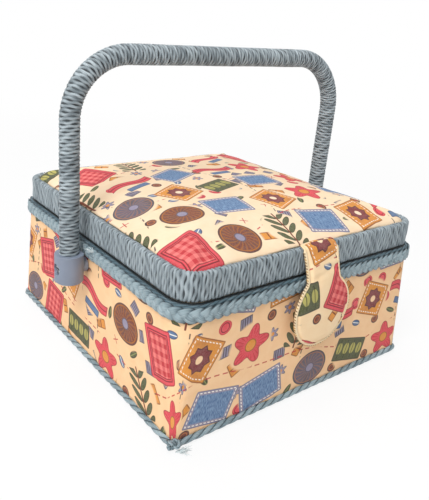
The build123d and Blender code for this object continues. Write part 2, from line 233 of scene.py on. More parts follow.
class Net:
    """One material's node tree."""

    def __init__(self, name, rough=0.8, metal=0.0, colour=(0.8, 0.8, 0.8), sheen=0.0, coat=0.0):
        self.mat = bpy.data.materials.new(name)
        self.mat.use_nodes = True
        self.tree = self.mat.node_tree
        self.bsdf = self.tree.nodes["Principled BSDF"]
        self.set(Base_Color=colour, Roughness=rough, Metallic=metal, Sheen_Weight=sheen,
                 Coat_Weight=coat)

    def node(self, kind, settings=None, **inputs):
        """A node with its settings, then its inputs: _0 is the first, Base_Color by name."""
        made = self.tree.nodes.new(kind)
        for key, val in (settings or {}).items():
            setattr(made, key, val)
        for key, val in inputs.items():
            self.put(made.inputs[int(key[1:]) if key[0] == "_" else key.replace("_", " ")], val)
        return made

    def put(self, socket, val):
        if isinstance(val, Value):
            val = val.socket
        if isinstance(val, bpy.types.NodeSocket):
            self.tree.links.new(val, socket)
        elif isinstance(val, tuple) and socket.type == "RGBA" and len(val) == 3:
            socket.default_value = (*val, 1)
        else:
            socket.default_value = val

    def set(self, **inputs):
        for key, val in inputs.items():
            self.put(self.bsdf.inputs[key.replace("_", " ")], val)

    def math(self, kind, *vals):
        made = self.node("ShaderNodeMath", {"operation": kind})
        for i, val in enumerate(vals):
            self.put(made.inputs[i], val)
        return Value(self, made.outputs[0])

    def mix(self, share, a, b):
        return self.node("ShaderNodeMix", {"data_type": "RGBA"}, _0=share, _6=a, _7=b).outputs[2]

    def ease(self, val, low, high):
        """0 below low, 1 above high, and smooth between."""
        made = self.node("ShaderNodeMapRange", {"interpolation_type": "SMOOTHSTEP"},
                         _0=val, _1=low, _2=high)
        return Value(self, made.outputs[0])

    def noise(self, scale, detail=3.0, rough=0.5, where=None):
        """Noise on the piece's own coordinates, or where it is told."""
        made = self.node("ShaderNodeTexNoise", None, Vector=where or self.place(), Scale=scale,
                         Detail=detail, Roughness=rough)
        return Value(self, made.outputs[0])

    def bump(self, height, distance, strength):
        return self.node("ShaderNodeBump", None, Height=height, Distance=distance,
                         Strength=strength).outputs[0]

    def place(self):
        return self.node("ShaderNodeTexCoord").outputs["Object"]

    def uv(self):
        return self.node("ShaderNodeUVMap", {"uv_map": "cloth"}).outputs[0]

    def attribute(self, name):
        return Value(self, self.node("ShaderNodeAttribute", {"attribute_name": name}).outputs[2])

    def split(self, vector):
        made = self.node("ShaderNodeSeparateXYZ", None, Vector=vector)
        return [Value(self, made.outputs[i]) for i in range(3)]

    def join(self, x, y, z=0.0):
        return self.node("ShaderNodeCombineXYZ", None, X=x, Y=y, Z=z).outputs[0]

def srgb(r, g, b):
    """Linear colour from 0-255 values."""
    return tuple(c / 12.92 if c <= 0.04045 else ((c + 0.055) / 1.055) ** 2.4
                 for c in (r / 255, g / 255, b / 255))


# ---------------- printed cloth
CREAM, PEACH = srgb(249, 223, 190), srgb(244, 205, 161)
ROSE, RED, OCHRE = srgb(222, 58, 74), srgb(186, 26, 40), srgb(222, 142, 34)
BROWN, DENIM, OLIVE = srgb(112, 42, 10), srgb(72, 106, 148), srgb(66, 72, 20)
LILAC, INK, CHALK = srgb(140, 132, 156), srgb(40, 26, 32), srgb(252, 246, 234)
NAVY, MAROON, MOSS = srgb(38, 54, 88), srgb(116, 14, 26), srgb(30, 36, 14)
THREAD_PITCH = 0.45  # of the weave, in millimetres


def printed_cloth(name, shift=(0.0, 0.0), ground=CREAM, deep=PEACH):
    """Quilting print: patches, flowers, rosettes, leaves and running stitches, in millimetres."""
    net = Net(name, rough=0.8, sheen=0.02)
    ease, mix = net.ease, net.mix
    u, v, _ = net.split(net.uv())
    x, y = u * 1000 + shift[0], v * 1000 + shift[1]
    flat = net.join(x, y)
    wash = net.noise(0.12, 4.0, 0.6, flat)
    grain = net.noise(1.1, 2.0, 0.6, flat)
    brush = ease(grain * 0.6 + wash * 0.5, 0.38, 0.72)
    colour = mix(ease(wash, 0.3, 0.8) * 0.45, ground, deep)

    def cells(width, height, slip, seed):
        """Local place in staggered cells, with three random numbers for each cell."""
        row = whole(y / height)
        across = x / width + row * slip
        col = whole(across)
        draw = net.node("ShaderNodeTexWhiteNoise", {"noise_dimensions": "3D"},
                        Vector=net.join(col, row, float(seed)))
        a, b, c = net.split(draw.outputs["Color"])
        return (across - col - 0.5) * width, (y / height - row - 0.5) * height, a, b, c

    def turn(px, py, angle):
        co, si = cosine(angle), sine(angle)
        return px * co + py * si, py * co - px * si

    def radius(px, py):
        return root(px * px + py * py)

    def block(px, py, w, h, r=0.0):
        """Signed distance to a box with rounded corners, negative inside."""
        dx, dy = abs(px) - (w - r), abs(py) - (h - r)
        if not r:
            return most(dx, dy)
        return radius(most(dx, 0.0), most(dy, 0.0)) + least(most(dx, dy), 0.0) - r

    def inside(distance, soft=0.22):
        return 1 - ease(distance, -soft, soft)

    def line(distance, at, wide=0.3):
        return inside(abs(distance + at) - wide, 0.15)

    def stitched(distance, inset):
        return line(distance, inset) * (fract((qx + qy) / 2.6) < 0.6)

    def until(high):
        """Picks the next cells, as far as this share of them all."""
        nonlocal low, pick
        pick, low = (a > low) * (a < high), high

    def lay(mask, tint):
        """Tint where the mask is, in the picked cells."""
        nonlocal colour
        colour = mix(mask * pick, colour, tint)

    def fill(edge, tint, rim=None, dark=None):
        """A shape inside its edge, uneven as if brushed, with a darker line along the rim."""
        mask, shade = inside(edge), mix(brush * 0.09, tint, CHALK)
        if dark:
            shade = mix(ease(wash, 0.42, 0.7) * 0.5, shade, dark)
        lay(mask, shade)
        if rim:
            lay(ease(edge, -0.9, -0.2) * mask * 0.8, rim)

    # small motifs: ringed discs, stars, buckles, buttons, crosses, leaves, reels, striped scraps
    px, py, a, b, c = cells(17.0, 14.6, 0.37, 3)
    px, py = px + (b - 0.5) * 5, py + (c - 0.5) * 4
    qx, qy = turn(px, py, (c - 0.5) * 2.6)
    rr, spin, low, pick = radius(px, py), bearing(qy, qx), 0.0, None
    until(0.14)
    fill(rr - 4.2, ROSE, RED)
    lay(line(rr - 4.2, 1.5, 0.25), MAROON)
    until(0.22)
    fill(rr - 3.6 - cosine(spin * 6) * 1.1, LILAC, INK)
    fill(rr - 1.3, OCHRE)
    until(0.36)
    edge = block(qx, qy, 5.2, 3.1, 0.8)
    fill(edge, OCHRE, BROWN, BROWN)
    lay(inside(abs(qx) - 0.4) * inside(edge + 0.6), BROWN)
    until(0.48)
    edge = radius(qx * 0.62, qy) - 2.3
    fill(edge, DENIM, NAVY)
    lay(inside(abs(qy) - 0.25) * inside(edge + 0.3), CHALK)
    until(0.55)
    lay(inside(abs(abs(qx) - abs(qy)) - 0.4) * inside(rr - 2.8), RED)
    until(0.68)
    edge = radius(qx * 0.42, qy) - 1.9
    fill(edge, OLIVE, MOSS)
    lay(inside(abs(qy) - 0.2) * inside(edge), srgb(150, 156, 90))
    until(0.86)
    fill(rr - 3.4, BROWN, INK)
    lay(line(rr - 3.4, 1.4, 0.25), srgb(186, 112, 62))
    until(1.0)
    edge = block(qx, qy, 4.2, 3.6, 0.4)
    fill(edge, LILAC, INK, srgb(84, 78, 98))
    lay(inside(abs(fract(qx / 1.7) - 0.5) - 0.16, 0.1) * inside(edge + 0.7), INK)

    # running stitches that wander between the patches
    for s0, t0, size, gap, tint, step in ((x, y, 7, 61, RED, 5.6), (y, x, 9, 88, INK, 5.0)):
        lane = (t0 + sine(s0 / 31) * size + sine(s0 / 13.7 + 1) * 2.5) / gap
        off = abs(lane - whole(lane) - 0.5) * gap
        colour = mix(inside(off - 0.42, 0.15) * (fract(s0 / step) < 0.62) * 0.9, colour, tint)

    # large motifs, each on a patch of plain ground
    px, py, a, b, c = cells(34.5, 33.5, 0.43, 11)
    qx, qy = turn(px + (c - 0.5) * 4, py + (b - 0.5) * 3, (b - 0.5) * 0.9)
    rr, spin, low = radius(qx, qy), bearing(qy, qx), 0.0
    colour = mix(inside(rr - 15.0, 1.2), colour, mix(wash * 0.5, ground, deep))
    # red gingham patch
    until(0.18)
    edge = block(qx, qy, 12.0, 15.0, 1.6)
    check = (fract(qx / 5) < 0.5) + (fract(qy / 5) < 0.5)
    fill(edge, ROSE, MAROON, RED)
    lay(inside(edge + 4) * 0.85, mix(check * 0.5, srgb(238, 128, 122), RED))
    lay(line(edge, 2.6), MAROON)
    lay(line(edge, 3.9, 0.22), MAROON)
    # denim patch with a pale border
    until(0.32)
    edge = block(qx, qy, 14.5, 11.0, 1.0)
    slub = ease(net.noise(1.0, 2.0, 0.5, net.join(x * 2.4, y * 0.35)), 0.35, 0.65)
    fill(edge, LILAC, srgb(96, 104, 128))
    lay(inside(edge + 2.6), mix(slub, srgb(62, 96, 142), srgb(128, 158, 190)))
    lay(stitched(edge, 1.4), CHALK)
    # five-petalled flower
    until(0.39)
    edge = rr - 10.5 - cosine(spin * 5) * 2.8
    vein = ease(cosine(spin * 25), 0.3, 0.9) * ease(rr, 3.5, 8.0)
    fill(edge, ROSE, MAROON, RED)
    lay(inside(edge + 1) * vein * 0.6, RED)
    fill(rr - 4.0, OCHRE, BROWN)
    # wool rosette, brown or dark lilac
    until(0.52)
    wool = mix(b > 0.55, BROWN, srgb(88, 80, 100))
    edge = radius(qx, qy * 1.12) - 13.2
    ray = ease(cosine(spin * 18 + rr * 0.8), 0.1, 0.8)
    fill(edge, wool, INK, INK)
    lay(inside(edge + 2.2) * ray * 0.5, mix(0.45, wool, OCHRE))
    lay(line(edge, 1.6), mix(0.5, wool, OCHRE))
    fill(rr - 3.4, LILAC, INK)
    # ochre quilt star
    until(0.65)
    edge = block(qx, qy, 12.0, 12.0, 0.6)
    fill(edge, OCHRE, BROWN, srgb(172, 96, 26))
    fill(least(block(qx, qy, 6, 6), (abs(qx) + abs(qy)) * 0.7071 - 6), MAROON, INK)
    fill(rr - 2.4, ground)
    lay(stitched(edge, 1.9), CHALK)
    # olive patch with leaves
    until(0.79)
    edge = block(qx, qy, 13.5, 8.5, 1.0)
    cell = fract(qx / 6.4) * 6.4 - 3.2
    fill(edge, OLIVE, INK, MOSS)
    lay(inside(radius(cell * 1.7, qy - 0.5) - 4.2) * inside(edge + 1.6), srgb(176, 168, 92))
    lay(inside(abs(cell) - 0.25) * inside(edge + 1.6), MOSS)
    # ribbon, with a strip of denim below it
    until(0.93)
    wave = qy + sine(qx / 5.5) * 2.6
    edge = block(qx, wave, 17.0, 3.6, 0.5)
    fill(edge, ROSE, MAROON, RED)
    lay(inside(abs(wave) - 0.35) * inside(edge + 0.8), MAROON)
    fill(block(qx, qy + 9.5, 8.5, 2.6, 0.8), DENIM, NAVY)
    # leafy sprig
    until(1.0)
    step = fract((qy + 1 - abs(qx) * 0.75) / 6.5) * 6.5 - 3.25
    leaf = root((abs(qx) - 4.8) ** 2 + (step * 1.8) ** 2) - 4.3
    fill(most(leaf, abs(qy) - 13), OLIVE, MOSS)
    lay(inside(block(qx, qy, 0.6, 14.5)), BROWN)

    thread = sine(x * (tau / THREAD_PITCH)) * sine(y * (tau / THREAD_PITCH)) * 0.25 + grain * 0.5
    woven = mix(0.03, colour, mix(thread * 0.5 + 0.5, srgb(120, 90, 60), CHALK))
    net.set(Base_Color=woven, Roughness=0.74 + grain * 0.12, Normal=net.bump(thread, 0.00012, 0.5))
    return net.mat


# ---------------- other finishes
def cord_finish(name, light=(172, 184, 190), mid=(98, 110, 117), dark=(24, 31, 36),
                streak=(5200, 3)):
    """Twisted paper cord: each strand its own random tone with a painted highlight on its crest,
    and painted shade in the slits between the strands.
    """
    net = Net(name, rough=0.5, sheen=0.1)
    u, v, _ = net.split(net.uv())
    streaks = net.noise(1.0, 3.0, 0.6, net.join(u * streak[0], v * streak[1]))
    fibre = net.noise(1100.0, 3.0, 0.65)
    cloud = net.noise(70.0, 2.0)
    # shade: each strand's random tone together with the painted highlight on its crest
    shade = net.ease(net.attribute("tone") * 0.75 + cloud * 0.3 + streaks * 0.35 - 0.2, 0.05, 0.95)
    lit = net.mix(shade, srgb(*mid), srgb(*light))
    lit = net.mix(net.ease(streaks, 0.56, 0.7) * 0.45, lit, srgb(214, 223, 226))
    lit = net.mix(net.ease(streaks, 0.46, 0.34) * 0.5, lit, srgb(82, 96, 104))
    # painted shade: darkened towards the dark colour in the slits between strands
    shaded = net.mix(net.ease(net.attribute("groove_shade"), 0.25, 0.95) * 0.93, lit, srgb(*dark))
    net.set(Base_Color=shaded, Roughness=0.42 + fibre * 0.3,
            Normal=net.bump(streaks + fibre * 0.5, 0.0004, 0.7))
    return net.mat


def plain_cloth(name, colour, deep):
    net = Net(name, rough=0.85, sheen=0.2)
    x, y, z = net.split(net.place())
    weave = sine((x + y) * 7800) * sine((z + y) * 7800)
    cloud = net.noise(120.0)
    net.set(Base_Color=net.mix(cloud * 0.6 + weave * 0.08, colour, deep),
            Roughness=0.8 + cloud * 0.1, Normal=net.bump(weave, 0.0002, 0.5))
    return net.mat


def smooth_stuff(name, colour, worn, cloud, low, share, grain, rough, swing, relief, **kind):
    """Satin or plastic: clouded towards its worn colour, with a fine grain in gloss and relief."""
    net = Net(name, **kind)
    fine = net.noise(*grain)
    net.set(Base_Color=net.mix(net.ease(net.noise(*cloud), low, 0.8) * share, colour, worn),
            Roughness=rough + fine * swing, Normal=net.bump(fine, *relief))
    return net.mat


def moulded(name, colour, rough, speck, coat=0.0):
    return smooth_stuff(name, colour, tuple(c * (1 - speck * 3) for c in colour), (60.0, 2.0),
                        0.35, 1.0, (1500.0, 2.0), rough - 0.06, 0.14, (0.00008, 0.35), coat=coat)


def plated(name, colour, rough=0.25):
    net = Net(name, rough=rough, metal=1.0)
    scuff = net.noise(700.0, 4.0, 0.7)
    dulled = net.ease(net.noise(90.0), 0.4, 0.8) * 0.4
    net.set(Base_Color=net.mix(dulled, colour, tuple(c * 0.8 for c in colour)),
            Roughness=rough - 0.05 + net.ease(scuff, 0.45, 0.8) * 0.25,
            Normal=net.bump(scuff, 0.00003, 0.3))
    return net.mat


def board_finish(name, colour, fleck):
    net = Net(name, rough=0.9)
    pulp = net.noise(1100.0, 4.0, 0.7)
    flecks = net.ease(pulp, 0.45, 0.75) * 0.7 + net.noise(70.0) * 0.2
    net.set(Base_Color=net.mix(flecks, colour, fleck),
            Roughness=0.84 + pulp * 0.1, Normal=net.bump(pulp, 0.0002, 0.5))
    return net.mat


# Three copies of the same cloth: the body's ground is set deeper and warmer than the lid's, as
# painted shade on the walls, and the tab's paler than the body's, as painted light where it faces
# the lamps.
body_print_painted_shade = printed_cloth("printed_cloth_body_painted_shade", (0.0, 0.0),
                           srgb(250, 208, 161), srgb(239, 186, 133))
lid_print = printed_cloth("printed_cloth_lid", (311.0, 167.0))
tab_print_painted_light = printed_cloth("printed_cloth_tab_painted_light", (911.0, 420.0),
                          srgb(251, 222, 180), srgb(242, 202, 150))
band_cord = cord_finish("paper_cord_band")
# The handle's copy spreads its light and dark colours wider: a stronger painted highlight on the
# crests and deeper painted shade in the slits.
handle_cord = cord_finish("paper_cord_handle", (182, 194, 200), (68, 80, 87), (12, 17, 21),
                          (2600, 3))
trim_cord = cord_finish("paper_cord_trim", (158, 177, 184), (82, 103, 112), (18, 30, 37), (70, 24))
# A darker copy of the same paper cord: painted shade for the cord in the recess under the lid's
# edge.
painted_shade_cord = cord_finish("paper_cord_painted_shade", (84, 112, 124), (38, 60, 70), (6, 12, 16),
                          (70, 24))
cream_satin = smooth_stuff("cream_satin", srgb(238, 222, 196), srgb(222, 200, 168), (45.0,),
                           0.3, 0.6, (1800.0, 2.0), 0.36, 0.16, (0.0001, 0.4), sheen=0.3)
blue_tape = plain_cloth("blue_tape", srgb(108, 124, 134), srgb(84, 100, 112))
blue_moulding = moulded("blue_grey_moulding", srgb(131, 141, 158), 0.5, 0.04)
tray_moulding = moulded("milky_moulding", srgb(236, 236, 230), 0.3, 0.02, 0.2)
bright_steel = plated("bright_steel", (0.56, 0.56, 0.57), 0.28)
nickel = plated("nickel", (0.68, 0.66, 0.62), 0.18)
grey_board = board_finish("grey_board", srgb(150, 138, 120), srgb(112, 100, 84))
base_paper = board_finish("base_paper", srgb(116, 130, 140), srgb(92, 106, 118))

for finish, dressed in {
    grey_board: "base_board wall_board tray_rest_left tray_rest_right lid_hoop lid_board",
    base_paper: "bottom_cover", tray_moulding: "tray", nickel: "snap_plate snap_magnet",
    blue_moulding: "spacer_left spacer_right ferrule_left ferrule_right",
    bright_steel: "pivot_screw_left pivot_screw_right pivot_nut_left pivot_nut_right",
}.items():
    for node in dressed.split():
        dress(nodes[node], finish)


# ---------------- body: printed cover and trims
COVER_LOW, COVER_TALL = 0.0046, 0.0716
BODY = Outline(0.100, 0.104, 0.017)


def crinkle(s, z):
    """Slack of the pasted cloth: long shallow pulls and small wrinkles near the trims."""
    slow = rough(s * 14, z * 9) * 0.35 + rough(s * 40, z * 22, 3.0) * 0.25
    edge = exp(-(z - 0.006) / 0.006) + exp(-(0.0755 - z) / 0.007)
    return (slow + rough(s * 150, z * 30, 8.0) * 0.45 * edge) * 0.001


def wall_outline(z):
    """The walls draw in from rounder corners at the rim to sharper ones at the base."""
    t = min(1.0, max(0.0, (z - 0.005) / 0.070))
    return Outline(BODY.hx, BODY.hy, 0.004 + 0.013 * t)


def cover_uv(u, v):
    return u * BODY.length, COVER_LOW + v * COVER_TALL


def cover_point(u, v):
    s, z = cover_uv(u, v)
    x, y, nx, ny = wall_outline(z).like(BODY, s)
    out = min(0, crinkle(s, z) - 0.00045)
    return (x + nx * out, y + ny * out, z), 0, 0


body_cloth = dress(skin("body_cloth", 560, 44, cover_point, cover_uv), body_print_painted_shade)
thicken(body_cloth, 0.0006, -1)
stand_in(body_cloth, "box", "outer_cover")


def twisted(name, path, turns, plies, rad, steps, around=18, seed=0.0, finish=trim_cord):
    """A closed cord of a few plies: path(u) gives a point, an outward and an upward direction."""
    def point(u, v):
        here, out, up = path(u)
        angle = v * tau
        lay = angle * plies - u * turns * tau * plies
        hump = abs(cos(lay / 2))
        ply = floor((lay / tau + 0.5) % plies)
        r = rad * (0.66 + 0.34 * hump ** 0.7) * (1 + 0.05 * rough(u * 90, angle, seed))
        # painted shade between the plies, and a painted highlight on each ply's crest over a
        # random tone
        return (here + ring(angle, r, out, up), max(0.0, 1 - hump / 0.5) * 1.05,
                0.35 * hump + 0.35 + 0.4 * rough(ply * 5.1, u * turns * 0.7, seed))
    return dress(skin(name, steps, around, point), finish)


def rail_path(outline, z):
    def path(u):
        x, y, nx, ny = outline.at(u * outline.length)
        return Vector((x, y, z)), Vector((nx, ny, 0)), Vector((0, 0, 1))
    return path


BASE_RAIL = Outline(0.0994, 0.1034, 0.0034)
base_rope = twisted("base_rope", rail_path(BASE_RAIL, 0.0025), 34, 3, 0.0023, 1500, 24)
stand_in(base_rope, "box", "base_cord")


PLAIT_LOW, PLAIT_HIGH, PLAIT_OUT = 0.0746, 0.0830, 0.0007
STRAND_WIDE, STRAND_THICK = 0.0050, 0.0014
CROSSINGS = round(BODY.length / 0.0165)


def plait_strand(number):
    """One of the three flat strands of cord that cross each other round the rim."""
    mid, amp = (PLAIT_LOW + PLAIT_HIGH) / 2, (PLAIT_HIGH - PLAIT_LOW) / 2 - STRAND_WIDE * 0.42

    def point(u, v):
        s, angle = u * BODY.length, v * tau
        way = u * CROSSINGS * tau + number * tau / 3 + 0.25 * rough(s * 40, number * 3.0)
        z = mid + amp * sin(way) + 0.0005 * rough(s * 75, number * 5.0)
        tilt = atan(amp * cos(way) * CROSSINGS * tau / BODY.length)
        ply = abs(cos(angle * 3.0 + s * 700))
        wide = (sin(angle) * STRAND_WIDE * 0.5 * (0.94 + 0.06 * ply)
                * (1 + 0.12 * rough(s * 110, number * 2.0)))
        lift = (sin(2 * way) * 0.45 + cos(angle) * 0.5 * (0.72 + 0.28 * ply)) * STRAND_THICK
        x, y, nx, ny = BODY.at(s - wide * sin(tilt))
        out = PLAIT_OUT + lift
        # Painted shade where the strand dips under the others and along its edges; the sin(2 *
        # way) term in the tone is a painted highlight where the strand stands proud.
        under = max(0.0, 0.3 - lift / STRAND_THICK) * 1.5
        return ((x + nx * out, y + ny * out, z + wide * cos(tilt)),
                min(1.0, max(abs(sin(angle)) ** 6 * 0.75, under)),
                0.45 + 0.4 * rough(s * 90, number * 9.0) + 0.3 * sin(2 * way))

    return close_up(patch(1600, 12, point, lambda u, v: (u + number, v)))


def filling_point(u, v):
    x, y, nx, ny = BODY.at(u * BODY.length)
    out = -0.0031 + 0.0021 * cos(v * tau)
    return (x + nx * out, y + ny * out, 0.0799 + 0.0041 * sin(v * tau)), 1, 0


rim_plait = dress(finish_mesh(joined(plait_strand(n) for n in range(3)), "rim_plait"), trim_cord)
# The twist and the filling on the rim's top, under the lid's edge, wear the darker copy: painted
# shade.
rim_twist = twisted("rim_twist", rail_path(Outline(0.0988, 0.1028, 0.0158), 0.0826),
                    44, 3, 0.00125, 1500, finish=painted_shade_cord)
rim_fill = dress(skin("rim_fill", 240, 8, filling_point), painted_shade_cord)
for piece in (rim_plait, rim_twist, rim_fill):
    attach(piece, "box")
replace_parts(rim_plait, "rim_braid")


# ---------------- lid: wound band and padded top
LID = Outline(0.098, 0.102, 0.015)
SECTION = Outline(0.00235, 0.0084, 0.0018)  # of the band, with its middle at
SECTION_OUT, SECTION_Z = -0.00235, 0.0926
WINDINGS = 338
LEAN = random.Random(41)
shades = [LEAN.random() for _ in range(WINDINGS + 1)]


def winding(number, count, shade, way, wave=0.0):
    """How high the cord stands at a place in a row of windings, how much painted shade falls in
    the slit beside it, and its tone: random for each strand, with a painted highlight on the crest
    and along the twist.
    way is the distance along the strand, whose twist makes its edges swell and shrink."""
    number += 0.13 * sin(way / 0.0013 + floor(number) * 2.4)
    which = floor(number) % count
    across = number - floor(number)
    crest = 2 * min(across, 1 - across)
    hump = sin(pi * across) ** 0.4
    gap = round(number) % count
    twist = 0.5 + 0.5 * sin(way / 0.0016 + which * 1.9)
    open_ = 0.48 + 0.7 * shade[(gap * 7 + 3) % count] + 0.5 * wave
    # painted highlight: brighter on the hump's crest and with the twist, over the strand's random
    # tone
    tone = (0.3 + 0.7 * hump ** 3) * (0.25 + 0.45 * shade[which] + 0.4 * twist)
    return hump, max(0.0, 1 - crest / 0.5) * open_, tone


def band_point(u, v):
    s, w = u * LID.length, v * SECTION.length
    po, pz, no, nz = SECTION.at(w)
    slant = 0.0019 * rough(s * 55, 4.0) * (pz / 0.0084) + 0.0009 * rough(s * 210, v * 5, 1.0)
    number = (s + slant) / LID.length * WINDINGS
    hump, groove_shade, tone = winding(number, WINDINGS, shades, w, rough(number, v * 9, 6.0))
    lift = (hump - 0.95) * 0.0011 + 0.0003 * rough(s * 120, v * 6)
    x, y, nx, ny = LID.at(s)
    out, z = SECTION_OUT + po + no * lift, SECTION_Z + pz + nz * lift
    return (x + nx * out, y + ny * out, z), groove_shade, tone


lid_band = dress(skin("lid_band", 2028, 30, band_point), band_cord)
stand_in(lid_band, "lid", "lid_binding")

TOP = Outline(0.0934, 0.0974, 0.0105)
CROWN = [(0, 0), (1.2, .12), (4, .28), (9, .46), (17, .63), (29, .79), (45, .92), (66, 1.0)]


def crown_height(inset):
    """Height share of the padded top at this many millimetres in from its edge."""
    for (a, low), (b, high) in zip(CROWN, CROWN[1:]):
        if inset <= b:
            t = (inset - a) / (b - a)
            return low + (high - low) * t
    return 1.0


def pad_grid(name, outline, z_edge, z_floor, rise, cells, pull):
    """A closed pad: crowned top, short side and flat underside, from one subdivided grid."""
    bm = bmesh.new()
    bmesh.ops.create_grid(bm, x_segments=cells, y_segments=cells, size=1.0)
    for vert in bm.verts:
        gx, gy = vert.co.x, vert.co.y
        far = max(abs(gx), abs(gy))
        x = y = 0.0
        if far > 1e-9:
            ray = Vector((gx, gy)) / far
            lo, hi = 0.0, 1.0
            for _ in range(28):
                mid = (lo + hi) / 2
                if outline.inset(ray.x * outline.hx * mid, ray.y * outline.hy * mid) > 0:
                    lo = mid
                else:
                    hi = mid
            x, y = ray.x * outline.hx * lo * far, ray.y * outline.hy * lo * far
        inset = max(0.0, outline.inset(x, y)) * 1000
        corner = min(1.0, abs(gx * gy)) ** 6
        vert.co = (x, y, z_edge + rise * crown_height(inset) + pull(x, y, inset, corner))
    side = bmesh.ops.extrude_edge_only(bm, edges=[e for e in bm.edges if e.is_boundary])["geom"]
    for vert in [g for g in side if isinstance(g, bmesh.types.BMVert)]:
        vert.co.z = z_floor
    bmesh.ops.contextual_create(bm, geom=[e for e in bm.edges if e.is_boundary])
    bmesh.ops.triangulate(bm, faces=[f for f in bm.faces if len(f.verts) > 4])
    bmesh.ops.recalc_face_normals(bm, faces=bm.faces)
    return finish_mesh(bm, name)


def top_pull(x, y, inset, corner):
    """Gathers where the cloth tucks under the band, and slack pulls across the corners."""
    around = atan2(y, x)
    tuck = exp(-inset / 7.0)
    ripple = rough(x * 160, y * 160, 2.0) * 0.0006 * tuck
    pull = rough(around * 7, inset * 0.02, 5.0) * 0.0008 * exp(-inset / 26.0)
    soft = rough(x * 22, y * 22, 9.0) * 0.0007 * (1 - tuck)
    return ripple + pull + soft - corner * 0.0009 * exp(-inset / 10.0)


lid_top = pad_grid("lid_top_cloth", TOP, 0.1004, 0.0985, 0.0121, 150, top_pull)


def swell(piece, cap):
    """Fills the pad as its wadding does: cloth under pressure, with its movement capped."""
    data = piece.data
    held = piece.vertex_groups.new(name="held")
    held.add([v.index for v in data.vertices if v.co.z < 0.1003], 1.0, "REPLACE")
    cloth = piece.modifiers.new("fill", "CLOTH")
    for key, setting in {"quality": 5, "use_pressure": True, "uniform_pressure_force": 4.0,
                         "vertex_group_mass": "held", "tension_stiffness": 25,
                         "compression_stiffness": 25, "bending_stiffness": 0.6}.items():
        setattr(cloth.settings, key, setting)
    cloth.settings.effector_weights.gravity = 0
    cloth.point_cache.frame_start, cloth.point_cache.frame_end = 1, 20
    scene = bpy.context.scene
    for number in range(1, 21):
        scene.frame_set(number)
    filled = piece.evaluated_get(bpy.context.evaluated_depsgraph_get())
    moved = [v.co.copy() for v in filled.to_mesh().vertices]
    filled.to_mesh_clear()
    piece.modifiers.remove(cloth)
    scene.frame_set(1)
    for vert, after in zip(data.vertices, moved):
        step = after - vert.co
        if step.length > cap:
            step *= cap / step.length
        vert.co += step
    data.update()


swell(lid_top, 0.0035)


def pad_uv(piece):
    """Cloth coordinates from above."""
    bm = bmesh.new()
    bm.from_mesh(piece.data)
    cloth = bm.loops.layers.uv.new("cloth")
    for face in bm.faces:
        for loop in face.loops:
            loop[cloth].uv = loop.vert.co.xy
    bm.to_mesh(piece.data)
    bm.free()


pad_uv(lid_top)
dress(lid_top, lid_print)
smooth_top = lid_top.modifiers.new("smoother", "SUBSURF")
smooth_top.levels = smooth_top.render_levels = 1
stand_in(lid_top, "lid", "lid_cushion")


# ---------------- handle winding
GRIP_X, BAR_Z, BEND = 0.11095, 0.1968, 0.038  # the bail's centre line
GRIP_LOW, GRIP_R = 0.0743, 0.0061
LEG = BAR_Z - BEND - GRIP_LOW
ARCH_LEN = 2 * (LEG + GRIP_X - BEND) + pi * BEND


def arch_at(s):
    """Point and outward normal along the bail, from the left end to the right."""
    if s > ARCH_LEN / 2:
        return [Vector((-p.x, 0, p.z)) for p in arch_at(ARCH_LEN - s)]
    if s < LEG:
        return Vector((-GRIP_X, 0, GRIP_LOW + s)), Vector((-1, 0, 0))
    a = (s - LEG) / BEND
    if a < pi / 2:
        out = Vector((-cos(a), 0, sin(a)))
        return Vector((BEND - GRIP_X, 0, BAR_Z - BEND)) + out * BEND, out
    return Vector((BEND - GRIP_X + s - LEG - BEND * pi / 2, 0, BAR_Z)), Vector((0, 0, 1))


TURNS = 204
turn_shades = [LEAN.random() for _ in range(TURNS + 2)]


def grip_point(u, v):
    s, angle = u * ARCH_LEN, v * tau
    here, out = arch_at(s)
    helix = u * TURNS + v + 0.35 * sin(angle) + 0.22 * rough(s * 70, angle * 0.7, 2.0)
    hump, groove_shade, tone = winding(helix, TURNS, turn_shades, angle * GRIP_R,
                                 rough(helix, angle * 1.1, 6.0) * 1.3)
    r = GRIP_R - 0.0008 + 0.0009 * hump + 0.00022 * rough(s * 35, angle * 0.8, 3.0)
    return here + ring(angle, r, out, Vector((0, 1, 0))), groove_shade, tone


handle_winding = dress(skin("handle_winding", 2040, 30, grip_point), handle_cord)
stand_in(handle_winding, "handle", "handle_grip")


# ---------------- closing tab
TAB_LINE = [(-0.0985, 0.1015), (-0.1005, 0.1028), (-0.1022, 0.1022), (-0.1034, 0.0992),
            (-0.1062, 0.0898), (-0.1088, 0.0800), (-0.1100, 0.0720), (-0.11015, 0.0600),
            (-0.1100, 0.0396)]


def smooth_tab_line(s):
    """Middle of the tab's thickness at distance s from its root, with its outward normal,
    averaged over a few millimetres so that the cloth bends without creases."""
    spots = [walk(TAB_LINE, max(0, s + d)) for d in (-0.004, -0.002, 0, 0.002, 0.004)]
    y, z, dy, dz = (sum(column) / 5 for column in zip(*(here + ahead for here, ahead in spots)))
    size = hypot(dy, dz) * (-1 if dz > 0 else 1)
    return y, z, dz / size, -dy / size


TAB_LONG = span(TAB_LINE)
DISC_R, NECK = 0.0226, 0.0134
DISC_S = TAB_LONG - DISC_R


def tab_half(s):
    """Half width of the keyhole shape at distance s from the root."""
    off = abs(s - DISC_S)
    disc = sqrt(DISC_R ** 2 - off ** 2) if off < DISC_R else -3 * (off - DISC_R)
    if s > DISC_S:
        return max(disc, 1e-5)
    neck = NECK + 0.0004 * cos(s * 160)
    return 0.5 * (neck + disc + sqrt((neck - disc) ** 2 + 0.0010 ** 2))


def tab_lean(s):
    """The neck runs a little off square."""
    return -0.0019 * max(0.0, 1 - s / 0.048)


